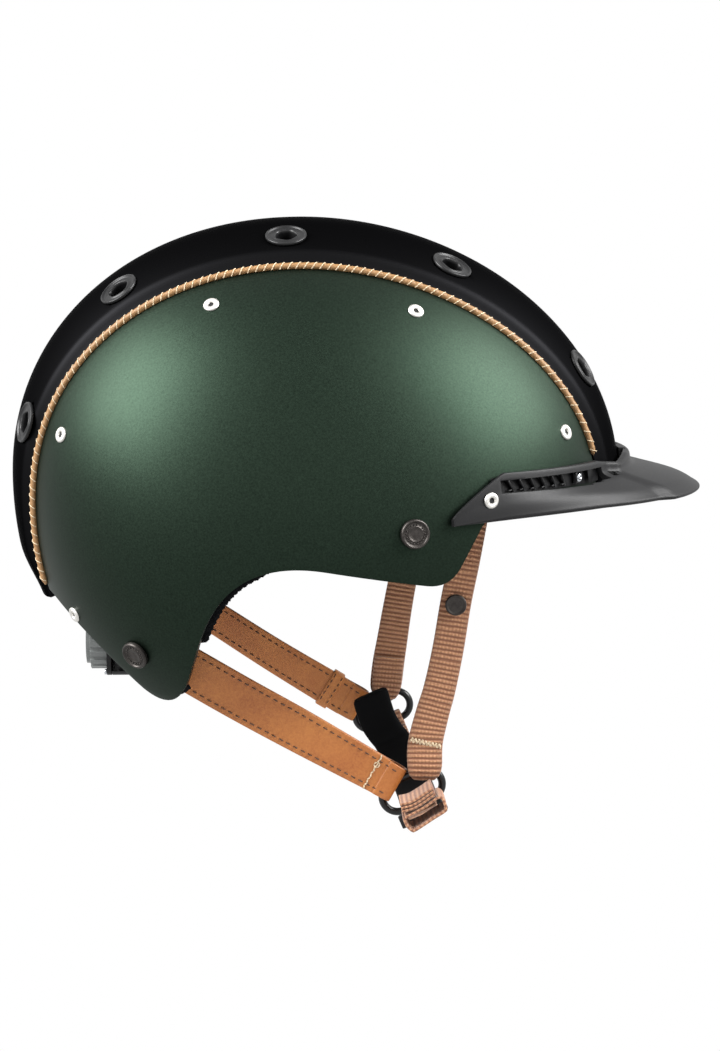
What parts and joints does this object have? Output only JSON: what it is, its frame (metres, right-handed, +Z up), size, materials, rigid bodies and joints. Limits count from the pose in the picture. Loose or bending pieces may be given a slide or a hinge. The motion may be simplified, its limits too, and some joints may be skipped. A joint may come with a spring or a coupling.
{
  "type": "riding helmet",
  "caption": "Riding helmet with two smooth side panels, a raised vented crown band, a short visor, and a leather and webbing chin harness.",
  "frame": {"origin": "middle of the head opening on the centre plane, level with the top of the ear arches", "axes": "+X to the front (visor), +Y to the wearer's left, +Z up; the helmet as worn"},
  "size_m": [0.3122, 0.216, 0.2748],
  "materials": {
    "green_shell": "metallic lacquer, satin gloss",
    "black_shell": "matt black shell",
    "visor_plastic": "satin black moulding",
    "black_plastic": "black moulding",
    "piping_leather": "stitched piping leather",
    "tan_leather": "smooth saddle leather",
    "tan_webbing": "ribbed webbing",
    "chrome": "polished",
    "pewter": "dark cast finish",
    "steel": "zinc plated",
    "foam": "dark expanded foam",
    "black_fabric": "padded knit"
  },
  "bodies": {
    "helmet": {"side_shell_right": "green_shell", "side_shell_left": "green_shell", "crown_shell": "black_shell", "piping_right": "piping_leather", "piping_left": "piping_leather", "vent_grommets": "black_plastic", "shell_rivets": "chrome", "visor": "visor_plastic", "visor_grille_right": "black_plastic", "visor_grille_left": "black_plastic", "visor_screws": "steel", "front_clip": "black_plastic", "front_studs": "pewter", "rear_studs": "pewter", "impact_liner": "foam", "brow_pad": "black_fabric", "crown_pad": "black_fabric", "nape_pad": "black_fabric", "side_pads": "black_fabric", "ear_linings": "black_fabric", "strap_anchors": "tan_leather"},
    "cradle": {"gear_housing": "black_plastic", "housing_cover": "black_plastic", "cover_screws": "steel", "cradle_pad": "black_fabric"},
    "arm_right": {"head_band_right": "black_plastic"},
    "arm_left": {"head_band_left": "black_plastic"},
    "dial": {"dial_knob": "black_plastic", "drive_pinion": "black_plastic"},
    "right_straps": {"leather_right": "tan_leather", "webbing_right": "tan_webbing", "ring_right": "black_plastic", "snap_right": "pewter"},
    "left_straps": {"leather_left": "tan_leather", "webbing_left": "tan_webbing", "ring_left": "black_plastic", "snap_left": "pewter"},
    "chin_strap": {"chin_webbing": "tan_webbing", "chin_pad": "black_fabric", "buckle_socket": "black_plastic", "buckle_plug": "black_plastic", "strap_tail": "tan_webbing"},
    "button": {"buckle_button": "black_plastic"}
  },
  "joints": [
    {"name": "harness_swing", "type": "hinge", "parent": "helmet", "child": "right_straps", "pos_m": [0.07, -0.062, 0.0125], "axis": [0.9171, 0, 0.3987], "range_deg": [-10, 10]},
    {"name": "left_swing", "type": "hinge", "parent": "helmet", "child": "left_straps", "pos_m": [0.06234, 0.062, 0.02008], "axis": [0.9171, 0, 0.3987], "range_deg": [-10, 10]},
    {"name": "chin_turn", "type": "hinge", "parent": "left_straps", "child": "chin_strap", "pos_m": [0.03376, 0.062, -0.10716], "axis": [0.9171, 0, 0.3987], "range_deg": [-10, 10]},
    {"name": "buckle_press", "type": "slide", "parent": "chin_strap", "child": "button", "axis": [-0.3937, 0.2469, 0.8855], "range_m": [0, 0.0015], "stiffness_N_per_m": 300},
    {"name": "cradle_tilt", "type": "hinge", "parent": "helmet", "child": "cradle", "pos_m": [0.037, 0, 0.0125], "axis": [0, 1, 0], "range_deg": [-4, 4]},
    {"name": "dial_turn", "type": "hinge", "parent": "cradle", "child": "dial", "pos_m": [-0.091, 0, -0.052], "axis": [-1, 0, 0], "range_deg": [0, 57.3]},
    {"name": "right_rack", "type": "slide", "parent": "cradle", "child": "arm_right", "axis": [0, 1, 0], "range_m": [0, 0.006]},
    {"name": "left_rack", "type": "slide", "parent": "cradle", "child": "arm_left", "axis": [0, -1, 0], "range_m": [0, 0.006]}
  ],
  "couplings": [
    {"joint": "left_swing", "follows": "harness_swing", "ratio": 1},
    {"joint": "chin_turn", "follows": "harness_swing", "ratio": -1},
    {"joint": "right_rack", "follows": "dial_turn", "m_per_rad": 0.006},
    {"joint": "left_rack", "follows": "dial_turn", "m_per_rad": 0.006}
  ]
}
